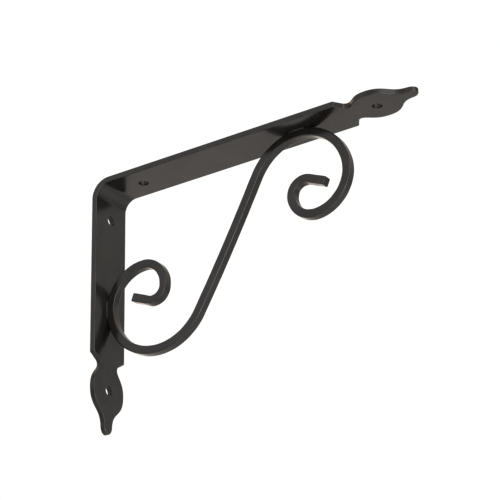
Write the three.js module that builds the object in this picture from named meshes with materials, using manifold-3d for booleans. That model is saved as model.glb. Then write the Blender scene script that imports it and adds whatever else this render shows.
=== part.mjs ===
// A wrought iron shelf bracket: a flat bar bent into an L, with a leaf at each end,
// braced by an S-shaped scroll of square bar that is welded to both legs of the L.
//
// Frame: +X out from the wall, +Z up, Y across the width. The origin is on the wall face,
// on the centre line, midway between the two screw holes of the wall leg.
// Lengths are millimetres and angles are degrees.

import * as THREE from "three";
import { mergeVertices } from "three/addons/utils/BufferGeometryUtils.js";
import Module from "manifold-3d";

// Strap: one flat bar
const strapWidth = 30.8;
const strapThickness = 3.8;
const strapEdgeWidth = 0.6; // rolled edge, as a 45 degree flat
const bendInnerRadius = 8.8;
const legLength = 170.8; // shelf face down to the leg's tip
const armLength = 237; // wall face out to the arm's tip

// Leaf cut at each end of the strap. Distances run from the tip, widths are from the centre line.
const tipLength = 5.1;
const tipHalfWidth = 3.9;
const bellyDistance = 29.1;
const bellyHalfWidth = 14.9;
const neckDistance = 45.2;
const neckHalfWidth = 8.2;
const neckRadius = 3.2;
const shoulderDistance = 51.6;
const stemHandle = 12; // curve handles, along the strap
const bellyTipHandle = 14.5;
const bellyNeckHandle = 10.1;
const neckHandle = 3.9;

// Screw holes, all on the centre line
const holeDiameter = 6.5;
const leafHoleDistance = 29; // from each tip
const legHoleDrop = 23.5; // from the shelf face
const armHoleReach = 30; // from the wall face

// Scroll: one square bar. Each branch starts at the middle of the brace, which bows a little,
// and turns clockwise through four arcs, which get tighter, to a straight tail.
const barSize = 5.5;
const barEdgeWidth = 0.5; // 45 degree flat
const braceAngle = 61; // above the horizontal, at its middle

const armBraceLength = 45.07; // middle of the brace to the first arc
const armBraceBow = -1.8; // turned clockwise over that length
const armSweepRadius = 35.61; // centre line of the bar, seated on the arm
const armSweepTurn = 140.88;
const armCurlRadius = 24.38;
const armCurlTurn = 97.96;
const armInnerRadius = 17.1;
const armInnerTurn = 91.2;
const armHookRadius = 8.97;
const armHookTurn = 115.8;
const armTailLength = 13.18;

const legBraceLength = 46.76;
const legBraceBow = 2.4;
const legSweepRadius = 36.83;
const legSweepTurn = 143.18;
const legCurlRadius = 24.8; // seated on the leg
const legCurlTurn = 98.22;
const legInnerRadius = 16.19;
const legInnerTurn = 95.57;
const legHookRadius = 8.8;
const legHookTurn = 103.83;
const legTailLength = 12.09;

const seatClearance = 0.3; // scroll to strap, and weld to both
const seatFlat = 0.9; // how much of the bar is pressed flat where it sits on the strap

// Weld beads, one on each side of the bar at each seat
const weldLength = 12;
const weldSize = 2;

// Facets
const arcStep = 7.5; // degrees a facet
const leafSteps = 12; // for each curve of the leaf
const holeSides = 32;

const armBranch = {
  brace: armBraceLength,
  bow: armBraceBow,
  arcs: [
    [armSweepRadius, armSweepTurn],
    [armCurlRadius, armCurlTurn],
    [armInnerRadius, armInnerTurn],
    [armHookRadius, armHookTurn],
  ],
  tail: armTailLength,
};
const legBranch = {
  brace: legBraceLength,
  bow: legBraceBow,
  arcs: [
    [legSweepRadius, legSweepTurn],
    [legCurlRadius, legCurlTurn],
    [legInnerRadius, legInnerTurn],
    [legHookRadius, legHookTurn],
  ],
  tail: legTailLength,
};

const radians = THREE.MathUtils.degToRad;
const wasm = await Module();
wasm.setup();

// Closed skin over a row of rings that have the same number of points, with flat ends.
// Each ring runs clockwise as seen from the start of the row.
function skin(rings) {
  const sides = rings[0].length;
  const positions = rings.flat().flatMap((p) => p.toArray());
  const indices = [];
  for (let r = 0; r + 1 < rings.length; r++) {
    for (let k = 0; k < sides; k++) {
      const a = r * sides + k;
      const b = r * sides + ((k + 1) % sides);
      indices.push(a, b, b + sides, a, b + sides, a + sides);
    }
  }
  const last = (rings.length - 1) * sides;
  for (let k = 1; k + 1 < sides; k++) {
    indices.push(0, k + 1, k);
    indices.push(last, last + k, last + k + 1);
  }
  const geometry = new THREE.BufferGeometry();
  geometry.setAttribute(
    "position",
    new THREE.Float32BufferAttribute(positions, 3),
  );
  geometry.setIndex(indices);
  return geometry;
}

// Rectangle with its corners taken off at 45 degrees, in the plane of a station.
// A station has a centre, its heading in the XZ plane, and half sizes across (Y) and through.
function section({ centre, heading, halfWidth, halfThickness, edge }) {
  const through = new THREE.Vector3(
    Math.sin(heading),
    0,
    -Math.cos(heading),
  );
  const cut = Math.min(edge, 0.5 * halfWidth, 0.5 * halfThickness);
  const corners = [
    [halfWidth - cut, halfThickness],
    [halfWidth, halfThickness - cut],
    [halfWidth, cut - halfThickness],
    [halfWidth - cut, -halfThickness],
    [cut - halfWidth, -halfThickness],
    [-halfWidth, cut - halfThickness],
    [-halfWidth, halfThickness - cut],
    [cut - halfWidth, halfThickness],
  ];
  return corners.map(([across, depth]) =>
    new THREE.Vector3(centre.x, across, centre.y).addScaledVector(
      through,
      depth,
    ),
  );
}

function toSolid(geometry) {
  const plain = geometry.clone();
  plain.deleteAttribute("normal");
  plain.deleteAttribute("uv");
  const merged = mergeVertices(plain, 1e-4);
  return new wasm.Manifold(
    new wasm.Mesh({
      numProp: 3,
      vertProperties: merged.getAttribute("position").array,
      triVerts: new Uint32Array(merged.index.array),
    }),
  );
}

function toGeometry(solid) {
  const mesh = solid.getMesh();
  const geometry = new THREE.BufferGeometry();
  geometry.setAttribute(
    "position",
    new THREE.BufferAttribute(mesh.vertProperties, 3),
  );
  geometry.setIndex(new THREE.BufferAttribute(mesh.triVerts, 1));
  const flat = geometry.toNonIndexed();
  flat.computeVertexNormals();
  return flat;
}

// Half of the leaf's outline, from the tip to the shoulder, as [distance, half width]
function leafOutline() {
  const tip = new THREE.EllipseCurve(
    tipLength,
    0,
    tipLength,
    tipHalfWidth,
    Math.PI,
    Math.PI / 2,
    true,
  );
  const stem = new THREE.CubicBezierCurve(
    new THREE.Vector2(tipLength, tipHalfWidth),
    new THREE.Vector2(tipLength + stemHandle, tipHalfWidth),
    new THREE.Vector2(bellyDistance - bellyTipHandle, bellyHalfWidth),
    new THREE.Vector2(bellyDistance, bellyHalfWidth),
  );
  const waist = new THREE.CubicBezierCurve(
    new THREE.Vector2(bellyDistance, bellyHalfWidth),
    new THREE.Vector2(bellyDistance + bellyNeckHandle, bellyHalfWidth),
    new THREE.Vector2(neckDistance - neckHandle, neckHalfWidth),
    new THREE.Vector2(neckDistance, neckHalfWidth),
  );
  // The neck's arc ends where the straight cut to the shoulder's corner is tangent to it.
  const centre = new THREE.Vector2(neckDistance, neckHalfWidth + neckRadius);
  const corner = new THREE.Vector2(shoulderDistance, strapWidth / 2);
  const toCorner = corner.clone().sub(centre);
  const tangentAngle =
    toCorner.angle() - Math.acos(Math.min(1, neckRadius / toCorner.length()));
  const neck = new THREE.EllipseCurve(
    centre.x,
    centre.y,
    neckRadius,
    neckRadius,
    -Math.PI / 2,
    tangentAngle,
    false,
  );
  const points = [tip, stem, waist, neck].flatMap((curve) =>
    curve.getPoints(leafSteps).slice(1),
  );
  points.push(corner);
  return points;
}

// Stations of the strap's centre surface from the leg's tip, round the bend, to the arm's tip
function strapStations() {
  const halfThickness = strapThickness / 2;
  const outerRadius = bendInnerRadius + strapThickness;
  const middleRadius = bendInnerRadius + halfThickness;
  const shape = { halfThickness, edge: strapEdgeWidth };
  const outline = leafOutline();
  const leg = outline.map((p) => ({
    centre: new THREE.Vector2(halfThickness, p.x - legLength),
    heading: Math.PI / 2,
    halfWidth: p.y,
    ...shape,
  }));
  const bendSteps = Math.ceil(90 / arcStep);
  const bend = Array.from({ length: bendSteps + 1 }, (_, i) => {
    const turned = (i / bendSteps) * (Math.PI / 2);
    return {
      centre: new THREE.Vector2(
        outerRadius - middleRadius * Math.cos(turned),
        middleRadius * Math.sin(turned) - outerRadius,
      ),
      heading: Math.PI / 2 - turned,
      halfWidth: strapWidth / 2,
      ...shape,
    };
  });
  const arm = outline.toReversed().map((p) => ({
    centre: new THREE.Vector2(armLength - p.x, -halfThickness),
    heading: 0,
    halfWidth: p.y,
    ...shape,
  }));
  return [...leg, ...bend, ...arm];
}

// A screw hole's cutter, square to the leg or to the arm
function screwHole(x, z, axis) {
  const cutter = new THREE.CylinderGeometry(
    holeDiameter / 2,
    holeDiameter / 2,
    3 * strapThickness,
    holeSides,
  );
  if (axis === "x") cutter.rotateZ(Math.PI / 2);
  if (axis === "z") cutter.rotateX(Math.PI / 2);
  cutter.translate(x, 0, z);
  return toSolid(cutter);
}

function makeStrap() {
  const middle = strapThickness / 2;
  return [
    screwHole(middle, -legHoleDrop, "x"),
    screwHole(middle, leafHoleDistance - legLength, "x"),
    screwHole(armHoleReach, -middle, "z"),
    screwHole(armLength - leafHoleDistance, -middle, "z"),
  ].reduce(
    (bar, hole) => bar.subtract(hole),
    toSolid(skin(strapStations().map(section))),
  );
}

// One branch of the scroll's centre line, from the middle of the brace to the end of the tail,
// with arcs as [radius, turn]. Each station has its place and heading. An arc that turns the
// other way has both its numbers below zero, as the bowed brace may. The seat is the point
// where the bar runs parallel to the strap, at seatHeading.
function scrollBranch(
  { brace, bow, arcs, tail },
  startHeading,
  seatHeading,
) {
  let place = new THREE.Vector2();
  let heading = startHeading;
  let seat = null;
  const stations = [{ place, heading }];
  for (const [radius, angle] of [[brace / radians(bow), bow], ...arcs]) {
    const centre = place
      .clone()
      .add(
        new THREE.Vector2(Math.sin(heading), -Math.cos(heading)).multiplyScalar(
          radius,
        ),
      );
    const at = (h) =>
      centre
        .clone()
        .add(
          new THREE.Vector2(-Math.sin(h), Math.cos(h)).multiplyScalar(radius),
        );
    const steps = Math.ceil(Math.abs(angle) / arcStep);
    const end = heading - radians(angle);
    if (!seat && heading >= seatHeading && end <= seatHeading)
      seat = at(seatHeading);
    for (let i = 1; i <= steps; i++) {
      const h = heading - radians((angle * i) / steps);
      stations.push({ place: at(h), heading: h });
    }
    heading = end;
    place = at(end);
  }
  const way = new THREE.Vector2(Math.cos(heading), Math.sin(heading));
  place = place.clone().add(way.multiplyScalar(tail));
  stations.push({ place, heading });
  return { stations, seat };
}

// The whole centre line of the scroll, laid so that the bar seats on both legs of the strap
function scrollLine() {
  const angle = radians(braceAngle);
  const arm = scrollBranch(armBranch, angle, 0);
  const leg = scrollBranch(legBranch, angle + Math.PI, Math.PI / 2);
  const seatDepth = strapThickness + seatClearance - seatFlat + barSize / 2;
  const offset = new THREE.Vector2(
    seatDepth - leg.seat.x,
    -seatDepth - arm.seat.y,
  );
  const backwards = leg.stations
    .slice(1)
    .reverse()
    .map(({ place, heading }) => ({ place, heading: heading - Math.PI }));
  const stations = [...backwards, ...arm.stations].map(
    ({ place, heading }) => ({ place: place.clone().add(offset), heading }),
  );
  return {
    stations,
    armSeatReach: arm.seat.x + offset.x,
    legSeatHeight: leg.seat.y + offset.y,
  };
}

// The space of the strap's two legs and the clearance in front of them
function seatCutters() {
  const reach = armLength + legLength;
  const depth = strapThickness + seatClearance;
  const leg = new THREE.BoxGeometry(reach, strapWidth, 2 * reach);
  leg.translate(depth - reach / 2, 0, 0);
  const arm = new THREE.BoxGeometry(2 * reach, strapWidth, reach);
  arm.translate(0, 0, reach / 2 - depth);
  return [toSolid(leg), toSolid(arm)];
}

function makeScroll(stations) {
  const bar = stations.map(({ place, heading }) => ({
    centre: place,
    heading,
    halfWidth: barSize / 2,
    halfThickness: barSize / 2,
    edge: barEdgeWidth,
  }));
  return seatCutters().reduce(
    (solid, cutter) => solid.subtract(cutter),
    toSolid(skin(bar.map(section))),
  );
}

// A fillet of weld lying along X, in the corner between the plane Z = 0 above it and the
// plane Y = 0 beside it. It tapers to both ends, and its face is slightly hollow.
function makeWeldBead() {
  const steps = 8;
  const rings = Array.from({ length: steps + 1 }, (_, i) => {
    const along = (i / steps - 0.5) * weldLength;
    const size = weldSize * (0.35 + 0.65 * Math.sin((Math.PI * i) / steps));
    return [
      new THREE.Vector3(along, 0, 0),
      new THREE.Vector3(along, 0, -size),
      new THREE.Vector3(along, 0.42 * size, -0.42 * size),
      new THREE.Vector3(along, size, 0),
    ];
  });
  return toSolid(skin(rings));
}

function makeMesh(name, solid, material) {
  const mesh = new THREE.Mesh(toGeometry(solid), material);
  mesh.name = name;
  return mesh;
}

function blackIron() {
  return new THREE.MeshStandardMaterial({
    color: 0x2b2927,
    roughness: 0.45,
    metalness: 0.3,
  });
}

// Two beads beside the bar at a seat, in a group that carries them to it
function weldPair(name) {
  const group = new THREE.Group();
  for (const [side, sign] of [
    ["left", -1],
    ["right", 1],
  ]) {
    const bead = makeMesh(`${name}_${side}`, makeWeldBead(), blackIron());
    bead.rotation.z = sign < 0 ? Math.PI : 0;
    bead.position.y = sign * (barSize / 2 + seatClearance);
    group.add(bead);
  }
  return group;
}

const line = scrollLine();
const seatFace = strapThickness + seatClearance;

const armWelds = weldPair("arm_weld");
armWelds.position.set(line.armSeatReach, 0, -seatFace);

const legWelds = weldPair("leg_weld");
legWelds.rotation.y = -Math.PI / 2;
legWelds.position.set(seatFace, 0, line.legSeatHeight);

const bracket = new THREE.Group();
bracket.add(makeMesh("strap", makeStrap(), blackIron()));
bracket.add(makeMesh("scroll", makeScroll(line.stations), blackIron()));
bracket.add(armWelds, legWelds);

// The shelf face is at Z = 0 until here: the origin goes down to the wall face.
bracket.position.z = (legHoleDrop + legLength - leafHoleDistance) / 2;

const root = new THREE.Group();
root.add(bracket);

export default root;
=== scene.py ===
"""A wrought iron shelf bracket in its finished state, photographed on plain white.

A flat bar is bent into an L, with a leaf at each end, and an S-shaped scroll of square bar braces it.
Lengths are metres. The frame has +X out from the wall, +Z up and +Y across the strap, with its origin
on the wall face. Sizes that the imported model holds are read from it, and the others are fields of the
class that makes the piece.
"""

from __future__ import annotations

import logging
import math
from dataclasses import dataclass, field
from enum import Enum

import bmesh
import bpy
import numpy as np
from mathutils import Matrix, Vector


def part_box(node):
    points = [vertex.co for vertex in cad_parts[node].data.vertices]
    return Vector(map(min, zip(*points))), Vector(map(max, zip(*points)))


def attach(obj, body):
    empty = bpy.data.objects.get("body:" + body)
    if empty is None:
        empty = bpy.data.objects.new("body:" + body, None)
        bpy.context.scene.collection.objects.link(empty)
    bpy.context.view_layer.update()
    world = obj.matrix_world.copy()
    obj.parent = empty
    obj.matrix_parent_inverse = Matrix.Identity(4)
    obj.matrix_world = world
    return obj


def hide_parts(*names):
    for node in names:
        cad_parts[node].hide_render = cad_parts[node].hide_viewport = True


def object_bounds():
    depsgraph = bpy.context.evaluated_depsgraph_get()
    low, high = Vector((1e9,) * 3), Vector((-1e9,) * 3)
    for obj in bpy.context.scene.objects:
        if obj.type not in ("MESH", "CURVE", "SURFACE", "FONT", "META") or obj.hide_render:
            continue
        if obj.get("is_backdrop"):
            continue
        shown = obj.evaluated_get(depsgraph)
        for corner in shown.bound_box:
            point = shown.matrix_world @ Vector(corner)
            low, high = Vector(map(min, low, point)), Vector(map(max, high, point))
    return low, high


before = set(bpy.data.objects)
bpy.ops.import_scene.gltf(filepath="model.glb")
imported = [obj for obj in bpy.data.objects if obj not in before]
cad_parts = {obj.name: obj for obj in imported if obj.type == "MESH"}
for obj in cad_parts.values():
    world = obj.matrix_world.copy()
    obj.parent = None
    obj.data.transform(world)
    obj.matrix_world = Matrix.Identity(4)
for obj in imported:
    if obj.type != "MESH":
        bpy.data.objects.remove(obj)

MM = 0.001
BODY = "root"
EDGE = "edge"
WELD = 0.001 * MM

Socket = bpy.types.NodeSocket
Value = Socket | float | tuple[float, ...]

log = logging.getLogger("bracket")


def smooth_step(x: np.ndarray) -> np.ndarray:
    """Rise from 0 to 1 over x = 0 to 1, as 3x squared less 2x cubed, and level outside that range."""
    t = np.clip(x, 0.0, 1.0)
    return t * t * (3.0 - 2.0 * t)


def bump_at(x: np.ndarray, middle: float, width: float) -> np.ndarray:
    """Bell curve of height 1 at the middle, exp(-((x - middle) / width) squared)."""
    return np.exp(-(((x - middle) / width) ** 2))


def direction(azimuth: float, height: float) -> tuple[float, float, float]:
    """Unit vector that points at an azimuth from +X and a height over the level, both in degrees."""
    turn, lift = math.radians(azimuth), math.radians(height)
    return (math.cos(turn) * math.cos(lift), math.sin(turn) * math.cos(lift), math.sin(lift))


def unit(v: np.ndarray) -> np.ndarray:
    """Rows of v at length 1."""
    return v / np.linalg.norm(v, axis=-1, keepdims=True)


class Skin:
    """Quads gathered from sheets of points, welded into one closed mesh."""

    def __init__(self) -> None:
        """Start with no sheets."""
        self.points: list[np.ndarray] = []
        self.edges: list[np.ndarray] = []
        self.quads: list[np.ndarray] = []
        self.count = 0

    def add_sheet(
        self,
        points: np.ndarray,
        edge: np.ndarray,
        wrap: bool = False,
        keep: np.ndarray | None = None,
    ) -> None:
        """Add a grid of points, with a quad between each four neighbours.

        Args:
            points: Grid of points, rows by columns by 3.
            edge: How much of an edge each point is, from 0 on a flat to 1 on a rounded edge.
            wrap: Whether the last column joins the first.
            keep: Mask of the quads to keep, or None for all.
        """
        rows, columns, _ = points.shape
        number = self.count + np.arange(rows * columns).reshape(rows, columns)
        if wrap:
            number = np.hstack([number, number[:, :1]])
        corners = (number[:-1, :-1], number[:-1, 1:], number[1:, 1:], number[1:, :-1])
        quads = np.stack(corners, axis=-1)
        quads = quads.reshape(-1, 4) if keep is None else quads[keep]
        self.points.append(points.reshape(-1, 3))
        self.edges.append(np.broadcast_to(edge, (rows, columns)).reshape(-1))
        self.quads.append(quads)
        self.count += rows * columns

    def add_cap(self, ring: np.ndarray) -> None:
        """Close a ring of points with a fan of thin quads to its middle."""
        middle = np.broadcast_to(ring.mean(axis=0), ring.shape)
        self.add_sheet(np.stack([ring, middle]), np.zeros((2, len(ring))), wrap=True)

    def make(self, name: str) -> bpy.types.Object:
        """Weld the sheets where they meet and turn every face outwards.

        Args:
            name: Name of the new object.

        Returns:
            The object, at the origin, shaded smooth, with the attribute named by EDGE.
        """
        mesh = bpy.data.meshes.new(name)
        mesh.from_pydata(np.concatenate(self.points).tolist(), [], np.concatenate(self.quads).tolist())
        # The edge mark lightens the coat along the rounded edges, partly as a painted highlight.
        mark = mesh.attributes.new(EDGE, "FLOAT", "POINT")
        mark.data.foreach_set("value", np.concatenate(self.edges).astype(np.float32))
        work = bmesh.new()
        work.from_mesh(mesh)
        bmesh.ops.remove_doubles(work, verts=work.verts, dist=WELD)
        bmesh.ops.dissolve_degenerate(work, edges=work.edges, dist=WELD)
        bmesh.ops.recalc_face_normals(work, faces=work.faces)
        work.to_mesh(mesh)
        open_edges = sum(1 for e in work.edges if len(e.link_faces) != 2)
        work.free()
        mesh.shade_smooth()
        piece = bpy.data.objects.new(name, mesh)
        bpy.context.scene.collection.objects.link(piece)
        log.info("%s: %d faces, %d open edges", name, len(mesh.polygons), open_edges)
        return piece


@dataclass
class LeafOutline:
    """Half of the leaf at each end of the strap: tip, stem, belly, neck and shoulder.

    Distances run from the tip, and half widths from the centre line.
    """

    strap_half_width: float
    tip_length: float = 5.1 * MM
    tip_half_width: float = 3.9 * MM
    belly_distance: float = 29.1 * MM
    belly_half_width: float = 14.9 * MM
    neck_distance: float = 45.2 * MM
    neck_half_width: float = 8.2 * MM
    neck_radius: float = 3.2 * MM
    shoulder_distance: float = 51.6 * MM
    stem_handle: float = 12 * MM
    belly_tip_handle: float = 14.5 * MM
    belly_neck_handle: float = 10.1 * MM
    neck_handle: float = 3.9 * MM
    corner_radius: float = 1.1 * MM
    row_step: float = 1.0 * MM
    row_turn: float = 0.16

    def curve(self, handles: list[tuple[float, float]]) -> np.ndarray:
        """Cubic Bezier curve, the sum of its four handles times the Bernstein polynomials.

        Args:
            handles: Start, its handle, the end's handle, end.

        Returns:
            200 points on the curve, the start included.
        """
        t = np.linspace(0.0, 1.0, 200)[:, None]
        a, b, c, d = (np.array(h) for h in handles)
        return (1 - t) ** 3 * a + 3 * (1 - t) ** 2 * t * b + 3 * (1 - t) * t**2 * c + t**3 * d

    def arc(self, centre: np.ndarray, radius: float, start: float, end: float) -> np.ndarray:
        """Circular arc as 60 points, centre plus radius times (cosine, sine) of angles in radians."""
        angle = np.linspace(start, end, 60)
        return centre + radius * np.stack([np.cos(angle), np.sin(angle)], axis=1)

    def trace(self) -> np.ndarray:
        """Follow the half outline closely, from the tip to the straight side of the strap.

        Returns:
            Points as [distance, half width].
        """
        turn = np.linspace(0.0, math.pi / 2, 80)
        tip = np.stack([self.tip_length * (1 - np.cos(turn)), self.tip_half_width * np.sin(turn)], axis=1)
        belly = (self.belly_distance, self.belly_half_width)
        stem = self.curve([
            (self.tip_length, self.tip_half_width),
            (self.tip_length + self.stem_handle, self.tip_half_width),
            (self.belly_distance - self.belly_tip_handle, self.belly_half_width),
            belly,
        ])
        waist = self.curve([
            belly,
            (self.belly_distance + self.belly_neck_handle, self.belly_half_width),
            (self.neck_distance - self.neck_handle, self.neck_half_width),
            (self.neck_distance, self.neck_half_width),
        ])
        centre = np.array([self.neck_distance, self.neck_half_width + self.neck_radius])
        corner = np.array([self.shoulder_distance, self.strap_half_width])
        reach = corner - centre
        leave = math.atan2(reach[1], reach[0]) - math.acos(self.neck_radius / np.hypot(*reach))
        neck = self.arc(centre, self.neck_radius, -math.pi / 2, leave)
        slope = math.atan2(*(corner - neck[-1])[::-1])
        back_off = self.corner_radius * math.tan(slope / 2)
        round_centre = corner + np.array([back_off, -self.corner_radius])
        shoulder = self.arc(round_centre, self.corner_radius, math.pi / 2 + slope, math.pi / 2)
        return np.concatenate([tip, stem[1:], waist[1:], neck[1:], shoulder])

    def rows(self) -> tuple[np.ndarray, np.ndarray]:
        """Share the outline out into rows, which gather where it turns.

        Rows are even in the sum of length / row_step and turned angle / row_turn.

        Returns:
            The rows' points on the outline and their outward normals.
        """
        path = self.trace()
        along = np.gradient(path, axis=0)
        tangent = unit(along)
        length = np.linalg.norm(np.diff(path, axis=0), axis=1)
        heading = np.unwrap(np.arctan2(tangent[:, 1], tangent[:, 0]))
        share = length / self.row_step + np.abs(np.diff(heading)) / self.row_turn
        measure = np.concatenate([[0.0], np.cumsum(share)])
        even = np.linspace(0.0, measure[-1], int(measure[-1]) + 1)
        points = np.stack([np.interp(even, measure, path[:, k]) for k in (0, 1)], axis=1)
        heading = np.interp(even, measure, heading)
        normals = np.stack([-np.sin(heading), np.cos(heading)], axis=1)
        points[0] = (0.0, 0.0)
        normals[0] = (-1.0, 0.0)
        normals[-1] = (0.0, 1.0)
        return points, normals


@dataclass
class Strap:
    """The flat bar, cut to a leaf at both ends, drilled and bent once into an L.

    It is worked out flat, as distance along the middle of the bar, place across it and depth towards
    the inside of the L, and then bent.
    """

    wall_x: float
    shelf_z: float
    leg_length: float
    arm_length: float
    half_width: float
    thickness: float = 3.8 * MM
    bend_inner_radius: float = 8.8 * MM
    edge_radius: float = 0.5 * MM
    tip_edge_radius: float = 0.9 * MM
    tip_edge_reach: float = 9.0 * MM
    flat_step: float = 1.25 * MM
    bend_steps: int = 24
    face_columns: int = 25
    edge_columns: int = 6
    hold: float = 0.3 * MM
    hole_radius: float = 3.25 * MM
    hole_edge_radius: float = 0.28 * MM
    hole_patch: float = 7.0 * MM
    hole_rings: tuple[float, ...] = (0.0, 0.35, 0.65, 0.85, 0.95)
    leaf_hole_distance: float = 29.0 * MM
    leg_hole_drop: float = 23.5 * MM
    arm_hole_reach: float = 30.0 * MM

    @property
    def outer_radius(self) -> float:
        """Radius of the outside of the bend."""
        return self.bend_inner_radius + self.thickness

    @property
    def middle_radius(self) -> float:
        """Radius of the bar's middle in the bend."""
        return self.bend_inner_radius + self.thickness / 2

    @property
    def bend_start(self) -> float:
        """Distance along the bar from the leg's tip to where the bend starts."""
        return self.leg_length - self.outer_radius

    @property
    def bend_end(self) -> float:
        """Distance along the bar to where the bend ends."""
        return self.bend_start + self.middle_radius * math.pi / 2

    @property
    def full_length(self) -> float:
        """Distance along the bar from tip to tip."""
        return self.bend_end + self.arm_length - self.outer_radius

    def hole_places(self) -> list[float]:
        """Distance along the bar of each screw hole."""
        return [
            self.leaf_hole_distance,
            self.leg_length - self.leg_hole_drop,
            self.bend_end + self.arm_hole_reach - self.outer_radius,
            self.full_length - self.leaf_hole_distance,
        ]

    def bend(self, along: np.ndarray, across: np.ndarray, depth: np.ndarray) -> np.ndarray:
        """Bend flat places into the L.

        Up the leg a place keeps its distance, in the bend it turns about the bend's centre by
        (distance - start) / middle radius, at middle radius - depth, and after it the distance
        runs out along the arm.

        Args:
            along: Distance along the bar's middle.
            across: Place across the bar.
            depth: Depth from the middle towards the inside of the L.

        Returns:
            Points in the frame, with a last axis of 3.
        """
        turn = np.clip((along - self.bend_start) / self.middle_radius, 0.0, math.pi / 2)
        radius = self.middle_radius - depth
        x = self.outer_radius - radius * np.cos(turn)
        z = radius * np.sin(turn) - self.outer_radius
        z = z + np.minimum(along - self.bend_start, 0.0)
        x = x + np.maximum(along - self.bend_end, 0.0)
        return np.stack([self.wall_x + x, across + 0 * x, self.shelf_z + z], axis=-1)

    def rows(self) -> tuple[np.ndarray, np.ndarray]:
        """Outline of the flat bar on its +Y side, tip to tip.

        Returns:
            Points as [distance, half width] and their outward normals.
        """
        leaf = LeafOutline(strap_half_width=self.half_width)
        points, normals = leaf.rows()
        first, last = points[-1, 0], self.full_length - points[-1, 0]
        leg = np.linspace(first, self.bend_start, int((self.bend_start - first) / self.flat_step))
        turn = np.linspace(self.bend_start, self.bend_end, self.bend_steps + 1)
        arm = np.linspace(self.bend_end, last, int((last - self.bend_end) / self.flat_step))
        straight = np.concatenate([leg[1:-1], turn, arm[1:-1]])
        side = np.stack([straight, np.full_like(straight, self.half_width)], axis=1)
        side_normals = np.broadcast_to([0.0, 1.0], side.shape)
        far = points[::-1] * [-1, 1] + [self.full_length, 0]
        far_normals = normals[::-1] * [-1, 1]
        return np.concatenate([points, side, far]), np.concatenate([normals, side_normals, far_normals])

    def edge_radii(self, along: np.ndarray) -> np.ndarray:
        """Radius of the rounded edge at distances along the bar, larger round each tip."""
        share = 1.0 - smooth_step(np.minimum(along, self.full_length - along) / self.tip_edge_reach)
        return self.edge_radius + (self.tip_edge_radius - self.edge_radius) * share

    def add_faces(self, skin: Skin, inset: np.ndarray) -> None:
        """Add the two broad faces, with a patch round each screw hole.

        Args:
            skin: Where the sheets go.
            inset: The rows' points on the flat of the face, just inside the rounded edge.
        """
        reach = np.maximum(inset[:, 1], 1e-9)
        inner = 1.0 - np.minimum(self.hold / reach, 0.25)
        share = np.linspace(-1.0, 1.0, self.face_columns - 2)
        column = np.concatenate([[-1.0], share, [1.0]])[None, :] * inner[:, None]
        column[:, 0] = -1.0
        column[:, -1] = 1.0
        across = column * inset[:, 1:]
        along = np.broadcast_to(inset[:, :1], across.shape)
        keep = np.ones((across.shape[0] - 1, across.shape[1] - 1), bool)
        for place in self.hole_places():
            near_rows = np.flatnonzero(np.abs(along[:, 0] - place) < self.hole_patch)
            near_columns = np.flatnonzero(np.abs(across[near_rows].mean(axis=0)) < self.hole_patch)
            r0, r1 = near_rows[0], near_rows[-1]
            c0, c1 = near_columns[0], near_columns[-1]
            keep[r0:r1, c0:c1] = False
            rim_rows = np.concatenate([
                np.full(c1 - c0, r0), np.arange(r0, r1), np.full(c1 - c0, r1), np.arange(r1, r0, -1),
            ])
            rim_columns = np.concatenate([
                np.arange(c0, c1), np.full(r1 - r0, c1), np.arange(c1, c0, -1), np.full(r1 - r0, c0),
            ])
            border = np.stack([along[rim_rows, rim_columns], across[rim_rows, rim_columns]], axis=1)
            self.add_hole(skin, place, border)
        edge = np.zeros(across.shape)
        for side in (1.0, -1.0):
            depth = np.full(across.shape, side * self.thickness / 2)
            skin.add_sheet(self.bend(along, across, depth), edge, keep=keep)

    def add_hole(self, skin: Skin, place: float, border: np.ndarray) -> None:
        """Add a screw hole, as rings from the patch's border on one face to that on the other.

        On the face the rings close in from the border to the hole's edge in a straight line, then
        they round the edge as a quarter circle, and go down the wall.

        Args:
            skin: Where the sheets go.
            place: Distance along the bar of the hole's centre.
            border: Points round the patch as [distance, across].
        """
        centre = np.array([place, 0.0])
        outward = unit(border - centre)
        round_off = self.hole_edge_radius
        mouth = centre + outward * (self.hole_radius + round_off)
        turn = np.linspace(0.0, math.pi / 2, 7)
        rings = [border + (mouth - border) * share for share in self.hole_rings]
        depths = [self.thickness / 2] * len(rings)
        edges = [0.0] * len(rings)
        for angle in turn:
            rings.append(centre + outward * (self.hole_radius + round_off * (1 - math.sin(angle))))
            depths.append(self.thickness / 2 - round_off * (1 - math.cos(angle)))
            edges.append(0.6 * math.sin(2 * angle))
        rings.append(rings[-1])
        depths.append(depths[-1] - self.hold)
        edges.append(0.0)
        rings = rings + rings[::-1]
        depths = depths + [-d for d in depths[::-1]]
        edges = edges + edges[::-1]
        plan = np.stack(rings)
        depth = np.broadcast_to(np.array(depths)[:, None], plan.shape[:2])
        edge = np.broadcast_to(np.array(edges)[:, None], plan.shape[:2])
        skin.add_sheet(self.bend(plan[..., 0], plan[..., 1], depth), edge, wrap=True)

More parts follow.
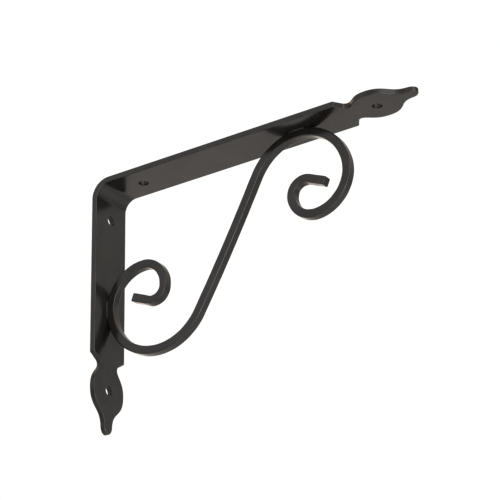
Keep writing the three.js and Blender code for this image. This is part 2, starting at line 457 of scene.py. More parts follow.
    def add_sides(self, skin: Skin, inset: np.ndarray, normals: np.ndarray, radii: np.ndarray) -> None:
        """Add the two narrow sides with their rounded edges.

        Each row is a quarter circle from the face, a straight side and a quarter circle back: the
        plan place is inset + radius times sine of the turn along the outline's normal.

        Args:
            skin: Where the sheets go.
            inset: The rows' points just inside the rounded edge.
            normals: The outline's outward normals.
            radii: The rounded edge's radius at each row.
        """
        turn = np.linspace(0.0, math.pi / 2, self.edge_columns + 1)
        radius = radii[:, None]
        half = self.thickness / 2
        out = radius * np.sin(turn)
        depth = half - radius * (1 - np.cos(turn))
        straight = half - radius
        held = straight - np.minimum(self.hold, 0.3 * straight)
        out = np.hstack([out, radius, radius, out[:, ::-1]])
        depth = np.hstack([depth, held, -held, -depth[:, ::-1]])
        edge = np.sin(2 * turn)
        edge = np.concatenate([edge, [0.0, 0.0], edge[::-1]])
        along = inset[:, :1] + out * normals[:, :1]
        across = inset[:, 1:] + out * normals[:, 1:]
        for side in (1.0, -1.0):
            points = self.bend(along, side * across, depth)
            skin.add_sheet(points, np.broadcast_to(edge, depth.shape))

    def build(self) -> bpy.types.Object:
        """Make the whole bar.

        Returns:
            The strap's object.
        """
        outline, normals = self.rows()
        radii = self.edge_radii(outline[:, 0])
        inset = outline - radii[:, None] * normals
        inset[:, 1] = np.maximum(inset[:, 1], 0.0)
        skin = Skin()
        self.add_faces(skin, inset)
        self.add_sides(skin, inset, normals, radii)
        return skin.make("strap_bar")


class Turn(Enum):
    """Which of the scroll's two branches, from the middle of the brace."""

    TO_ARM = "arm"
    TO_LEG = "leg"


@dataclass(frozen=True)
class Branch:
    """One branch of the scroll's centre line: half the brace, four arcs and a straight tail.

    The half brace is all but straight: it turns clockwise by bow degrees over its length.
    """

    brace: float
    bow: float
    radii: tuple[float, ...]
    turns: tuple[float, ...]
    tail: float


@dataclass
class Scroll:
    """The square bar, bent cold into an S and pressed flat where it is welded to the strap."""

    strap: Strap
    bar_size: float = 5.5 * MM
    edge_radius: float = 0.6 * MM
    end_edge_radius: float = 0.45 * MM
    brace_angle: float = 61.0
    seat_depth: float = 0.6 * MM
    seat_bite: float = 0.03 * MM
    spread: float = 0.42
    swell: float = 0.16
    step: float = 0.9 * MM
    dents: tuple[tuple[float, float, float], ...] = ((0.3, 0.9, 0.42), (3.6, 1.0, 0.34), (6.6, 1.3, 0.22))
    branches: dict[Turn, Branch] = field(default_factory=lambda: {
        Turn.TO_ARM: Branch(
            brace=45.07 * MM,
            bow=-1.8,
            radii=(35.61 * MM, 24.38 * MM, 17.1 * MM, 8.97 * MM),
            turns=(140.88, 97.96, 91.2, 115.8),
            tail=13.18 * MM,
        ),
        Turn.TO_LEG: Branch(
            brace=46.76 * MM,
            bow=2.4,
            radii=(36.83 * MM, 24.8 * MM, 16.19 * MM, 8.8 * MM),
            turns=(143.18, 98.22, 95.57, 103.83),
            tail=12.09 * MM,
        ),
    })

    def follow(self, which: Turn, heading: float) -> tuple[np.ndarray, np.ndarray, np.ndarray]:
        """Follow a branch from the middle of the brace, turning clockwise.

        On an arc the place is its centre + radius times the left normal of the heading, and the
        centre lies a radius to the right of where it starts.

        Args:
            which: The branch.
            heading: Its first heading in radians, anticlockwise from +X in the XZ plane.

        Returns:
            Places in the XZ plane, headings and curvatures.
        """
        branch = self.branches[which]
        place = np.zeros(2)
        places, headings, bends = [], [], []

        def arc(radius: float, turn: float) -> None:
            nonlocal place, heading
            count = max(2, round(abs(radius * turn) / self.step))
            angle = heading - np.linspace(0.0, turn, count + 1)
            centre = place + radius * np.array([math.sin(heading), -math.cos(heading)])
            run = centre + radius * np.stack([-np.sin(angle), np.cos(angle)], axis=1)
            places.append(run[:-1])
            headings.append(angle[:-1])
            bends.append(np.full(count, 1 / radius))
            place, heading = run[-1], float(angle[-1])

        bow = math.radians(branch.bow)
        arc(branch.brace / bow, bow)
        for radius, degrees in zip(branch.radii, branch.turns):
            arc(radius, math.radians(degrees))
        count = round(branch.tail / self.step)
        way = np.array([math.cos(heading), math.sin(heading)])
        places.append(place + np.linspace(0.0, branch.tail, count + 1)[:, None] * way)
        headings.append(np.full(count + 1, heading))
        bends.append(np.zeros(count + 1))
        return np.concatenate(places), np.concatenate(headings), np.concatenate(bends)

    def centre_line(self) -> tuple[np.ndarray, np.ndarray, np.ndarray]:
        """Join the branches and lay them so that the bar seats on both legs of the strap.

        Returns:
            Places in the frame's XZ plane, headings and curvatures, from the leg's tail to the arm's.
        """
        angle = math.radians(self.brace_angle)
        arm, arm_heading, arm_bend = self.follow(Turn.TO_ARM, angle)
        leg, leg_heading, leg_bend = self.follow(Turn.TO_LEG, angle + math.pi)
        depth = self.strap.thickness - self.seat_depth + self.bar_size / 2
        places = np.concatenate([leg[:0:-1], arm])
        places[:, 0] += self.strap.wall_x + depth - leg[:, 0].min()
        places[:, 1] += self.strap.shelf_z - depth - arm[:, 1].max()
        headings = np.concatenate([leg_heading[:0:-1] - math.pi, arm_heading])
        bends = np.concatenate([leg_bend[:0:-1], arm_bend])
        reach = np.arange(-6, 7)
        blur = np.exp(-((reach / 3.0) ** 2))
        bends = np.convolve(np.pad(bends, 6, mode="edge"), blur / blur.sum(), mode="valid")
        return places, headings, bends

    def seats(self) -> dict[Turn, float]:
        """Where the bar lies on the strap: the seat's X on the arm and its Z on the leg."""
        x, z = self.centre_line()[0].T
        return {Turn.TO_ARM: float(x[np.argmax(z)]), Turn.TO_LEG: float(z[np.argmin(x)])}

    def section(self) -> tuple[np.ndarray, np.ndarray]:
        """Square with rounded edges, as points round it.

        Each edge is a quarter circle, with a held point on the flat beside it.

        Returns:
            Points as [towards the inside of the bend, across] and how much of an edge each is.
        """
        half = self.bar_size / 2
        turn = np.linspace(0.0, math.pi / 2, 6)
        flat = half - self.edge_radius
        hold = flat - 0.25 * MM
        corner = flat + self.edge_radius * np.stack([np.cos(turn), np.sin(turn)], axis=1)
        side = np.array([[half, 0.0], [half, hold * 0.5], [half, hold]])
        side_after = np.array([[hold, half], [hold * 0.5, half]])
        quarter = np.concatenate([side, corner, side_after])
        edge = np.concatenate([np.zeros(3), np.sin(2 * turn), np.zeros(2)])
        keep, spin = np.eye(2), np.array([[0, -1], [1, 0]])
        ring = np.concatenate([quarter @ turned.T for turned in (keep, spin, -keep, -spin)])
        return ring, np.tile(edge, 4)

    def unevenness(self, along: np.ndarray, ring: np.ndarray, bends: np.ndarray) -> np.ndarray:
        """Slight waves that the bending leaves, deepest in the tight hooks and their tails.

        They are a sum of sines of the distance along the bar and the angle round it.

        Args:
            along: Distance along the bar of each station.
            ring: The section's points.
            bends: Curvature at each station.

        Returns:
            Scale of the section at each station and point, about 1.
        """
        s = along[:, None] / MM
        a = np.arctan2(ring[:, 1], ring[:, 0])[None, :]
        wave = np.sin(s / 2.9 + 2 * a) + np.sin(s / 1.7 - a + 1.3) + 0.7 * np.sin(s / 1.15 + 3 * a + 0.5)
        ends = np.minimum(along, along[-1] - along)
        tight = smooth_step(bends * 14 * MM - 0.4) + 0.8 * (1 - smooth_step(ends / (16 * MM)))
        return 1.0 + wave * (0.0035 + 0.009 * np.minimum(tight, 1.0))[:, None]

    def creases(self, along: np.ndarray, ring: np.ndarray) -> np.ndarray:
        """Dents on the inside of each hook, next to its tail, where the bar buckled as it was bent.

        Each of the dents is given as its distance past the tail, its width and its depth in mm.

        Args:
            along: Distance along the bar of each station.
            ring: The section's points.

        Returns:
            Depth of the dents at each station and point.
        """
        inside = np.clip(ring[:, 0] / (self.bar_size / 2), 0.0, 1.0)[None, :] ** 2
        near = np.exp(-(((ring[:, 1] / self.bar_size + 0.42) / 0.3) ** 2))[None, :]
        depth = np.zeros((len(along), len(ring)))
        for which, sign in ((Turn.TO_ARM, -1.0), (Turn.TO_LEG, 1.0)):
            tail = self.branches[which].tail
            end = along[-1] if which is Turn.TO_ARM else 0.0
            for offset, width, deep in self.dents:
                place = end + sign * (tail + offset * MM)
                depth += deep * MM * bump_at(along, place, width * MM)[:, None] * near * inside
        return depth

    def build(self) -> bpy.types.Object:
        """Carry the section along the centre line.

        A point is the station's place + its inward offset times the inward normal + its offset
        across. Bending spreads the inside across by spread times curvature times the inward offset,
        and thins the outside as much.

        Returns:
            The scroll's object.
        """
        places, headings, bends = self.centre_line()
        ring, edge = self.section()
        steps = np.linalg.norm(np.diff(places, axis=0), axis=1)
        along = np.concatenate([[0.0], np.cumsum(steps)])
        scale = self.unevenness(along, ring, bends)
        inward = ring[:, 0] * scale - self.creases(along, ring)
        across = ring[:, 1] * scale
        bend = bends[:, None]
        across = across * (1 + self.spread * bend * inward)
        inward = inward * (1 + self.swell * bend * inward)
        points = self.place_ring(places, headings, inward, across)
        skin = Skin()
        skin.add_sheet(self.press_seats(points), np.broadcast_to(edge, inward.shape), wrap=True)
        for end, sign in ((0, -1.0), (-1, 1.0)):
            self.add_end(skin, places[end], headings[end], sign, inward[end], across[end])
        return skin.make("scroll_bar")

    def place_ring(
        self, places: np.ndarray, headings: np.ndarray, inward: np.ndarray, across: np.ndarray
    ) -> np.ndarray:
        """Put section points on their stations.

        Args:
            places: Stations in the XZ plane.
            headings: Their headings.
            inward: Offsets towards the inside of the bend.
            across: Offsets along Y.

        Returns:
            Points, stations by section points by 3.
        """
        normal = np.stack([np.sin(headings), -np.cos(headings)], axis=1)
        x = places[:, :1] + inward * normal[:, :1]
        z = places[:, 1:] + inward * normal[:, 1:]
        return np.stack([x, across, z], axis=-1)

    def press_seats(self, points: np.ndarray) -> np.ndarray:
        """Press the bar flat against the strap's inner faces.

        Args:
            points: Points of the bar.

        Returns:
            The points, none of them deeper in the strap than seat_bite.
        """
        leg_face = self.strap.wall_x + self.strap.thickness - self.seat_bite
        arm_face = self.strap.shelf_z - self.strap.thickness + self.seat_bite
        pressed = points.copy()
        pressed[..., 0] = np.maximum(points[..., 0], leg_face)
        pressed[..., 2] = np.minimum(points[..., 2], arm_face)
        return pressed

    def add_end(
        self,
        skin: Skin,
        place: np.ndarray,
        heading: float,
        sign: float,
        inward: np.ndarray,
        across: np.ndarray,
    ) -> None:
        """Close a tail with a sawn face, its edge rounded as a quarter circle.

        Args:
            skin: Where the sheets go.
            place: The last station.
            heading: Its heading.
            sign: 1 at the end that the heading points out of, -1 at the other.
            inward: The last ring's offsets towards the inside.
            across: The last ring's offsets along Y.
        """
        radius = self.end_edge_radius
        turn = np.linspace(0.0, math.pi / 2, 5)
        shrink = 1.0 - (radius / (self.bar_size / 2)) * (1 - np.cos(turn))
        shrink = np.append(shrink, shrink[-1] - 0.12)
        ahead = np.append(radius * np.sin(turn), radius)
        way = np.array([math.cos(heading), math.sin(heading)])
        stations = place + sign * ahead[:, None] * way
        headings = np.full(len(stations), heading)
        points = self.place_ring(stations, headings, shrink[:, None] * inward, shrink[:, None] * across)
        edge = np.broadcast_to(np.append(np.sin(2 * turn), 0.0)[:, None], points.shape[:2])
        skin.add_sheet(points, edge, wrap=True)
        skin.add_cap(points[-1])


class Side(Enum):
    """Which side of the bar a weld lies on, as the sign of Y."""

    LEFT = -1
    RIGHT = 1


@dataclass
class WeldBead:
    """A short fillet of weld in the corner between the strap and one side of the scroll."""

    scroll: Scroll
    which: Turn
    side: Side
    length: float = 12.4 * MM
    spread: float = 2.1 * MM
    rise: float = 1.25 * MM
    bury: float = 0.5 * MM
    ripple: float = 0.22 * MM
    ripple_pitch: float = 1.25 * MM
    rows: int = 110
    columns: int = 26

    @property
    def node(self) -> str:
        """Name of the model's node that this bead stands for."""
        return f"{self.which.value}_weld_{self.side.name.lower()}"

    def build(self) -> bpy.types.Object:
        """Make the bead.

        The section is a quarter ellipse bulge between its two toes, closed under the surfaces that it
        joins. Its size is (1 - seam squared) to the power 0.4, with a slow wander of three sines, and the
        ripples are crescents: a sine of the distance plus the square of the place on the section.

        Returns:
            The bead's object.
        """
        seam = np.linspace(-1.0, 1.0, self.rows)[:, None]
        turn = np.linspace(0.0, math.pi / 2, self.columns)[None, :]
        phase = 0.9 * self.side.value + (2.1 if self.which is Turn.TO_ARM else 0.0)
        wander = 1 + 0.10 * np.sin(4.1 * seam + phase) + 0.07 * np.sin(9.7 * seam + 2 * phase)
        wander = wander + 0.05 * np.sin(23.0 * seam + 3 * phase)
        size = 0.85 * wander * np.sqrt(np.clip(1 - seam**2, 0.0, 1.0)) ** 0.8
        bow = (turn / (math.pi / 4) - 1) ** 2
        along = seam * self.length / 2
        crescents = np.sin(2 * math.pi * (along / self.ripple_pitch) + 1.9 * bow + phase)
        bumps = self.ripple * crescents * np.sin(2 * turn) * np.sqrt(1 - seam**2)
        belly = 0.88 + 0.12 * np.sin(2 * turn)
        out = (self.spread * size * belly + bumps) * np.cos(turn) ** 0.9
        down = (self.rise * size * belly + bumps) * np.sin(turn) ** 0.9
        back = np.full((self.rows, 1), -self.bury)
        out = np.hstack([out[:, :1], out, back, back])
        down = np.hstack([back, down, down[:, -1:], back])
        along = np.broadcast_to(along, out.shape)
        points = self.to_frame(along, out, down)
        skin = Skin()
        skin.add_sheet(points, np.zeros(out.shape), wrap=True)
        skin.add_cap(points[0])
        skin.add_cap(points[-1])
        return skin.make(self.node + "_bead")

    def to_frame(self, along: np.ndarray, out: np.ndarray, down: np.ndarray) -> np.ndarray:
        """Put the bead's own places in the frame.

        Args:
            along: Distance along the seam from its middle.
            out: Distance across, away from the bar's side.
            down: Distance off the strap's face.

        Returns:
            Points with a last axis of 3.
        """
        strap = self.scroll.strap
        seat = self.scroll.seats()[self.which]
        y = self.side.value * (self.scroll.bar_size / 2 + out)
        if self.which is Turn.TO_ARM:
            return np.stack([seat + along, y, strap.shelf_z - strap.thickness - down], axis=-1)
        return np.stack([strap.wall_x + strap.thickness + down, y, seat + along], axis=-1)


class Wiring:
    """Short ways to add nodes to a tree and join them."""

    def __init__(self, tree: bpy.types.NodeTree) -> None:
        """Keep the tree to work on."""
        self.tree = tree

    def put(self, node: bpy.types.Node, inputs: dict[str | int, Value]) -> None:
        """Give a node's inputs their values.

        Args:
            node: The node.
            inputs: A socket to link from, or else a constant, by input name or number.
        """
        for label, value in inputs.items():
            if isinstance(value, Socket):
                self.tree.links.new(value, node.inputs[label])
            else:
                node.inputs[label].default_value = value

    def node(self, kind: str, inputs: dict[str | int, Value], **settings: object) -> bpy.types.Node:
        """Add a node, set its own properties and give its inputs their values.

        Args:
            kind: The node's type name after ShaderNode.
            inputs: A socket or a constant by input name or number.
            settings: Properties and their values.

        Returns:
            The new node.
        """
        made = self.tree.nodes.new("ShaderNode" + kind)
        for label, value in settings.items():
            setattr(made, label, value)
        self.put(made, inputs)
        return made

    def noise(self, vector: Value, scale: Value, detail: float = 2.0, rough: float = 0.5) -> Socket:
        """Noise at a scale in turns a metre, with octaves of detail that are each rough times as strong."""
        inputs = {"Vector": vector, "Scale": scale, "Detail": detail, "Roughness": rough}
        return self.node("TexNoise", inputs).outputs["Fac"]

    def math(self, operation: str, a: Value, b: Value = 0.0, clamp: bool = False) -> Socket:
        """Result of a math operation on a and b, kept in 0 to 1 if clamp is set."""
        return self.node("Math", {0: a, 1: b}, operation=operation, use_clamp=clamp).outputs[0]

    def times(self, a: Value, b: Value) -> Socket:
        """Product of a and b."""
        return self.math("MULTIPLY", a, b)

    def remap(self, value: Value, low: float, high: float, to_low: Value, to_high: Value) -> Socket:
        """Smooth map of a value from the range low to high to the range to_low to to_high."""
        inputs = {"Value": value, "From Min": low, "From Max": high, "To Min": to_low, "To Max": to_high}
        return self.node("MapRange", inputs, interpolation_type="SMOOTHSTEP").outputs["Result"]

    def blend(self, factor: Value, a: Value, b: Value, kind: str = "RGBA") -> Socket:
        """Mix from a at factor 0 to b at factor 1, of kind RGBA for colours or FLOAT for numbers."""
        return self.node("Mix", {"Factor": factor, "A": a, "B": b}, data_type=kind).outputs["Result"]


def new_group(
    name: str, inputs: dict[str, float | tuple], outputs: dict[str, str]
) -> tuple[Wiring, bpy.types.NodeOutputs, bpy.types.Node]:
    """Make an empty shader node group.

    Args:
        name: Name of the group.
        inputs: Input names with their defaults: a number, a colour of 4 or a vector of 3.
        outputs: Output names with "Float" or "Color".

    Returns:
        The group's wiring, the sockets of what it is given, and the node that hands its results out.
    """
    group = bpy.data.node_groups.new(name, "ShaderNodeTree")
    for label, value in inputs.items():
        kind = {4: "Color", 3: "Vector"}[len(value)] if isinstance(value, tuple) else "Float"
        socket = group.interface.new_socket(label, in_out="INPUT", socket_type=f"NodeSocket{kind}")
        socket.default_value = value
    for label, kind in outputs.items():
        group.interface.new_socket(label, in_out="OUTPUT", socket_type=f"NodeSocket{kind}")
    given = group.nodes.new("NodeGroupInput").outputs
    return Wiring(group), given, group.nodes.new("NodeGroupOutput")


def coat_tone_group() -> bpy.types.NodeTree:
    """Colour and roughness of a sprayed coat: broad clouds, and fine specks over them.

    Returns:
        The group, with outputs Color and Roughness.
    """
    wire, given, leave = new_group(
        "Coat Tone",
        {
            "Vector": (0.0, 0.0, 0.0),
            "Dark": (0.01, 0.01, 0.01, 1.0),
            "Light": (0.03, 0.03, 0.03, 1.0),
            "Cloud Scale": 60.0,
            "Speck Scale": 1500.0,
            "Smooth": 0.3,
            "Rough": 0.45,
        },
        {"Color": "Color", "Roughness": "Float"},
    )
    cloud = wire.noise(given["Vector"], given["Cloud Scale"], detail=3.0, rough=0.55)
    speck = wire.noise(given["Vector"], given["Speck Scale"], detail=1.0)
    tone = wire.math("ADD", wire.times(cloud, 0.7), wire.times(speck, 0.3))
    tone = wire.remap(tone, 0.34, 0.66, 0.0, 1.0)
    spots = wire.math("ADD", wire.times(cloud, 0.5), wire.times(speck, 0.5))
    gloss = wire.remap(spots, 0.36, 0.64, given["Smooth"], given["Rough"])
    wire.put(leave, {"Color": wire.blend(tone, given["Dark"], given["Light"]), "Roughness": gloss})
    return wire.tree


def edge_wear_and_highlight_group() -> bpy.types.NodeTree:
    """Lighter colour along rounded edges, broken up by noise: a thin, rubbed coat, and partly a painted
    highlight that stands in for the light lines the edges catch.

    Returns:
        The group, with outputs Color and Roughness.
    """
    wire, given, leave = new_group(
        "Edge Wear and Highlight",
        {
            "Vector": (0.0, 0.0, 0.0),
            "Edge": 0.0,
            "Color": (0.02, 0.02, 0.02, 1.0),
            "Worn and Highlit Color": (0.08, 0.08, 0.08, 1.0),
            "Roughness": 0.4,
            "Worn and Highlit Roughness": 0.3,
            "Amount": 0.5,
            "Break Scale": 220.0,
        },
        {"Color": "Color", "Roughness": "Float"},
    )
    patches = wire.noise(given["Vector"], given["Break Scale"], detail=4.0, rough=0.6)
    patches = wire.remap(patches, 0.3, 0.7, 0.25, 1.0)
    # Rubbed coat and partly a painted highlight: the broken-up edge mark lightens the colour here.
    worn_and_highlit = wire.math("MULTIPLY", wire.times(given["Edge"], patches), given["Amount"], clamp=True)
    gloss = wire.blend(worn_and_highlit, given["Roughness"], given["Worn and Highlit Roughness"], kind="FLOAT")
    wire.put(leave, {"Color": wire.blend(worn_and_highlit, given["Color"], given["Worn and Highlit Color"]), "Roughness": gloss})
    return wire.tree


def orange_peel_group() -> bpy.types.NodeTree:
    """Height of a sprayed coat over rolled iron: fine orange peel on slow waves, and a few nibs.

    Returns:
        The group, with output Height, in metres.
    """
    wire, given, leave = new_group(
        "Orange Peel",
        {
            "Vector": (0.0, 0.0, 0.0),
            "Peel Scale": 700.0,
            "Peel Height": 0.00001,
            "Wave Scale": 110.0,
            "Wave Height": 0.00003,
            "Nib Scale": 260.0,
            "Nib Height": 0.00002,
        },
        {"Height": "Float"},
    )
    peel = wire.times(wire.noise(given["Vector"], given["Peel Scale"], detail=1.5), given["Peel Height"])
    wave = wire.times(wire.noise(given["Vector"], given["Wave Scale"], detail=1.0), given["Wave Height"])
    cells = wire.node("TexVoronoi", {"Vector": given["Vector"], "Scale": given["Nib Scale"]}, feature="F1")
    nib = wire.remap(cells.outputs["Distance"], 0.05, 0.16, 1.0, 0.0)
    rare = wire.remap(wire.noise(given["Vector"], 90.0, detail=0.0), 0.58, 0.66, 0.0, 1.0)
    nib = wire.times(wire.times(nib, rare), given["Nib Height"])
    wire.put(leave, {"Height": wire.math("ADD", wire.math("ADD", peel, wave), nib)})
    return wire.tree


@dataclass(frozen=True)
class SatinBlack:
    """Satin black coat over iron, as one material."""

    name: str
    dark: tuple[float, float, float] = (0.0125, 0.0115, 0.0105)
    light: tuple[float, float, float] = (0.021, 0.0195, 0.018)
    smooth: float = 0.18
    rough: float = 0.25
    # Colour and roughness of the rounded edges: a rubbed coat, and partly a painted highlight of their
    # light lines.
    worn_and_highlit: tuple[float, float, float] = (0.07, 0.066, 0.062)
    worn_and_highlit_rough: float = 0.26
    wear_and_highlight: float = 0.5
    cloud_scale: float = 60.0
    peel_scale: float = 650.0
    peel_height: float = 0.009 * MM
    wave_scale: float = 110.0
    wave_height: float = 0.035 * MM
    nib_height: float = 0.03 * MM
    ior: float = 1.5

    def build(self, groups: dict[str, bpy.types.NodeTree]) -> bpy.types.Material:
        """Make the material.

        Args:
            groups: The shared node groups by name.

        Returns:
            The material.
        """
        material = bpy.data.materials.new(self.name)
        material.use_nodes = True
        material.node_tree.nodes.clear()
        wire = Wiring(material.node_tree)
        where = wire.node("TexCoord", {}).outputs["Object"]
        mark = wire.node("Attribute", {}, attribute_name=EDGE).outputs["Fac"]
        tone = wire.node("Group", {
            "Vector": where,
            "Dark": (*self.dark, 1.0),
            "Light": (*self.light, 1.0),
            "Cloud Scale": self.cloud_scale,
            "Smooth": self.smooth,
            "Rough": self.rough,
        }, node_tree=groups["tone"])
        # Lighter colour on the rounded edges, for wear and partly as a painted highlight.
        wear_and_highlight = wire.node("Group", {
            "Vector": where,
            "Edge": mark,
            "Color": tone.outputs["Color"],
            "Worn and Highlit Color": (*self.worn_and_highlit, 1.0),
            "Roughness": tone.outputs["Roughness"],
            "Worn and Highlit Roughness": self.worn_and_highlit_rough,
            "Amount": self.wear_and_highlight,
        }, node_tree=groups["wear_and_highlight"])
        peel = wire.node("Group", {
            "Vector": where,
            "Peel Scale": self.peel_scale,
            "Peel Height": self.peel_height,
            "Wave Scale": self.wave_scale,
            "Wave Height": self.wave_height,
            "Nib Height": self.nib_height,
        }, node_tree=groups["peel"])
        bump = wire.node("Bump", {"Strength": 1.0, "Distance": 1.0, "Height": peel.outputs["Height"]})
        shader = wire.node("BsdfPrincipled", {
            "IOR": self.ior,
            "Base Color": wear_and_highlight.outputs["Color"],
            "Roughness": wear_and_highlight.outputs["Roughness"],
            "Normal": bump.outputs["Normal"],
        })
        wire.node("OutputMaterial", {"Surface": shader.outputs["BSDF"]})
        return material


@dataclass
class PhotoCamera:
    """The camera at the photograph's viewing angle, looking up at the bracket from below.

    The sharp outer corner, where the planes of the wall face and the shelf face meet, is given in the
    camera's own directions: to the left of, above and away from its centre.
    """

    wall_x: float
    shelf_z: float
    azimuth: float = 34.438
    elevation: float = -24.852
    roll: float = -0.842
    corner_left: float = 93.495 * MM
    corner_up: float = 39.122 * MM
    corner_away: float = 1568.648 * MM
    focal_pixels: float = 2400.0
    picture_pixels: float = 500.0
    sensor: float = 36.0

    def build(self) -> bpy.types.Object:
        """Make the camera and make it the scene's.

        Returns:
            The camera.
        """
        a, e, o = (math.radians(v) for v in (self.azimuth, self.elevation, self.roll))
        level = Vector((math.cos(a), math.sin(a), 0.0))
        ahead = Vector((-math.sin(a) * math.cos(e), math.cos(a) * math.cos(e), -math.sin(e)))
        plumb = level.cross(ahead)
        right = level * math.cos(o) + plumb * math.sin(o)
        up = plumb * math.cos(o) - level * math.sin(o)
        corner = Vector((self.wall_x, 0.0, self.shelf_z))
        place = corner + right * self.corner_left - up * self.corner_up - ahead * self.corner_away
        data = bpy.data.cameras.new("camera")
        data.sensor_width = self.sensor
        data.lens = self.focal_pixels * self.sensor / self.picture_pixels
        data.clip_start = 0.05
        data.clip_end = 100.0
        camera = bpy.data.objects.new("camera", data)
        turn = Matrix((right, up, -ahead)).transposed().to_4x4()
        camera.matrix_world = Matrix.Translation(place) @ turn
        bpy.context.scene.collection.objects.link(camera)
        bpy.context.scene.camera = camera
        return camera


@dataclass(frozen=True)
class Glow:
    """A wide, soft patch of light in the surroundings, brightest at its middle."""

    azimuth: float
    height: float
    narrow: float
    strength: float
    tint: tuple[float, float, float] = (1.0, 1.0, 1.0)

    @property
    def way(self) -> tuple[float, float, float]:
        """Unit vector from the bracket towards the middle of the patch."""
        return direction(self.azimuth, self.height)


@dataclass(frozen=True)
class SoftLight:
    """A large square lamp that faces the bracket from above the floor."""

    name: str
    azimuth: float
    height: float
    size: float
    power: float
    tint: tuple[float, float, float] = (1.0, 1.0, 1.0)
    away: float = 2.25

    def build(self, target: Vector) -> bpy.types.Object:
        """Make the lamp.

        Args:
            target: Where it points.

        Returns:
            The lamp.
        """
        data = bpy.data.lights.new(self.name, "AREA")
        data.size = self.size
        data.energy = self.power
        data.color = self.tint
        lamp = bpy.data.objects.new(self.name, data)
        lamp.location = target + Vector(direction(self.azimuth, self.height)) * self.away
        lamp.rotation_mode = "QUATERNION"
        lamp.rotation_quaternion = (target - lamp.location).to_track_quat("-Z", "Y")
        bpy.context.scene.collection.objects.link(lamp)
        return lamp


@dataclass
class Studio:
    """Plain pale floor far below the bracket, white surroundings and soft light."""

    floor_z: float = -1.8
    floor_size: float = 60.0
    floor_tone: tuple[float, float, float] = (0.86, 0.855, 0.85)
    backdrop: tuple[float, float, float] = (1.02, 1.02, 1.02)
    even: tuple[float, float, float] = (0.62, 0.57, 0.52)
    contrast: float = 0.7
    glows: tuple[Glow, ...] = (
        Glow(135.0, 5.0, 12.0, 0.85, (1.1, 1.0, 0.9)),
        Glow(100.0, 8.0, 12.0, 1.1, (1.08, 1.02, 0.9)),
        Glow(168.0, 8.0, 12.0, 0.9, (1.2, 0.94, 0.82)),
        Glow(232.0, 24.0, 12.0, 1.2, (0.97, 0.96, 1.05)),
        Glow(280.0, 20.0, 12.0, 0.72, (1.2, 0.98, 0.82)),
        Glow(325.0, 22.0, 12.0, 3.38),
        Glow(56.0, 17.0, 9.0, 0.6),
        Glow(0.0, 88.0, 10.0, 2.32),
    )
    lamps: tuple[SoftLight, ...] = (
        SoftLight("key", 300.0, -15.0, 2.2, 25.0, (0.84, 1.0, 1.22)),
        SoftLight("fill", 328.0, -18.0, 1.2, 18.2, (1.1, 1.0, 0.9)),
        SoftLight("low", 2.0, -30.0, 1.2, 11.0, (0.73, 0.96, 1.35)),
        SoftLight("end", 60.0, -30.0, 1.2, 1.6),
    )

    def build_world(self) -> None:
        """Make the surroundings: white to the camera, even light and soft patches to the bracket.

        Each patch adds strength * exp(narrow * (cos(angle to its middle) - 1)).
        """
        world = bpy.data.worlds.new("surroundings")
        world.use_nodes = True
        bpy.context.scene.world = world
        world.node_tree.nodes.clear()
        wire = Wiring(world.node_tree)
        way = wire.node("TexCoord", {}).outputs["Generated"]
        seen = wire.node("Background", {"Color": (*self.backdrop, 1.0)})
        total = wire.node("Background", {"Color": (*self.even, 1.0)})
        for glow in self.glows:
            dot = wire.node("VectorMath", {0: way, 1: glow.way}, operation="DOT_PRODUCT").outputs["Value"]
            power = wire.times(wire.math("SUBTRACT", dot, 1.0), glow.narrow)
            shine = wire.times(wire.math("EXPONENT", power), glow.strength)
            patch = wire.node("Background", {"Color": (*glow.tint, 1.0), "Strength": shine})
            total = wire.node("AddShader", {0: total.outputs[0], 1: patch.outputs[0]})
        ray = wire.node("LightPath", {}).outputs["Is Camera Ray"]
        mixed = wire.node("MixShader", {0: ray, 1: total.outputs[0], 2: seen.outputs[0]})
        wire.node("OutputWorld", {"Surface": mixed.outputs[0]})

    def build_floor(self) -> bpy.types.Object:
        """Make the floor.

        Returns:
            The floor.
        """
        half = self.floor_size / 2
        mesh = bpy.data.meshes.new("floor")
        corners = [(-half, -half), (half, -half), (half, half), (-half, half)]
        mesh.from_pydata([(x, y, self.floor_z) for x, y in corners], [], [(0, 1, 2, 3)])
        material = bpy.data.materials.new("pale floor")
        material.use_nodes = True
        shader = material.node_tree.nodes["Principled BSDF"]
        shader.inputs["Base Color"].default_value = (*self.floor_tone, 1.0)
        shader.inputs["Roughness"].default_value = 0.9
        mesh.materials.append(material)
        floor = bpy.data.objects.new("floor", mesh)
        bpy.context.scene.collection.objects.link(floor)
        floor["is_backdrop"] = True
        return floor

    def build(self, target: Vector) -> None:
        """Make the whole studio.

        Args:
            target: Middle of the bracket, which the lamps face.
        """
        self.build_world()
        self.build_floor()
        for lamp in self.lamps:
            lamp.build(target)
        bpy.context.scene.view_settings.view_transform = "Standard"
        bpy.context.scene.view_settings.gamma = self.contrast


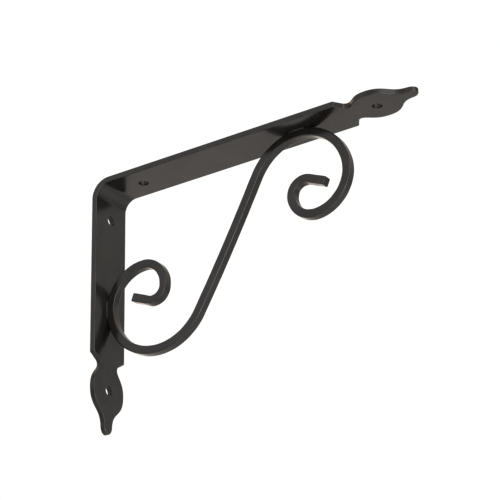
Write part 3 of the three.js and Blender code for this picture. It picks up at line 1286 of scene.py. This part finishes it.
@dataclass
class Bracket:
    """The whole bracket: strap, scroll and the welds between them."""

    strap: Strap
    scroll: Scroll

    @classmethod
    def from_frame(cls) -> Bracket:
        """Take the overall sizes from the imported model.

        Returns:
            The bracket, ready to build.
        """
        low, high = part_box("strap")
        strap = Strap(
            wall_x=low.x,
            shelf_z=high.z,
            leg_length=high.z - low.z,
            arm_length=high.x - low.x,
            half_width=15.4 * MM,
        )
        return cls(strap=strap, scroll=Scroll(strap=strap))

    def place(self, piece: bpy.types.Object, material: bpy.types.Material, node: str) -> None:
        """Dress a piece, and put it on the body in place of its node.

        Args:
            piece: The new piece.
            material: Its finish.
            node: The model's node that it stands for.
        """
        piece.data.materials.clear()
        piece.data.materials.append(material)
        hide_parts(node)
        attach(piece, BODY)
        log.info("%s stands for %s", piece.name, node)

    def build(self) -> None:
        """Make, dress and place every piece."""
        groups = {"tone": coat_tone_group(), "wear_and_highlight": edge_wear_and_highlight_group(), "peel": orange_peel_group()}
        strap_coat = SatinBlack("satin black on the strap").build(groups)
        scroll_coat = SatinBlack(
            "satin black on the scroll",
            smooth=0.17,
            rough=0.24,
            peel_scale=800.0,
            wave_scale=160.0,
            wave_height=0.045 * MM,
        ).build(groups)
        weld_coat = SatinBlack(
            "satin black on the welds",
            smooth=0.24,
            rough=0.34,
            peel_scale=1500.0,
            peel_height=0.05 * MM,
            wave_scale=650.0,
            wave_height=0.16 * MM,
        ).build(groups)
        self.place(self.strap.build(), strap_coat, "strap")
        self.place(self.scroll.build(), scroll_coat, "scroll")
        for which in Turn:
            for side in Side:
                bead = WeldBead(self.scroll, which, side)
                self.place(bead.build(), weld_coat, bead.node)


def main() -> None:
    """Build the camera, the bracket and the studio, with the lamps facing the middle of the imported model.
    """
    logging.basicConfig(level=logging.INFO, format="%(name)s: %(message)s")
    low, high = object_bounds()
    bracket = Bracket.from_frame()
    PhotoCamera(wall_x=bracket.strap.wall_x, shelf_z=bracket.strap.shelf_z).build()
    bracket.build()
    Studio().build((low + high) / 2)


if __name__ == "__main__":
    main()
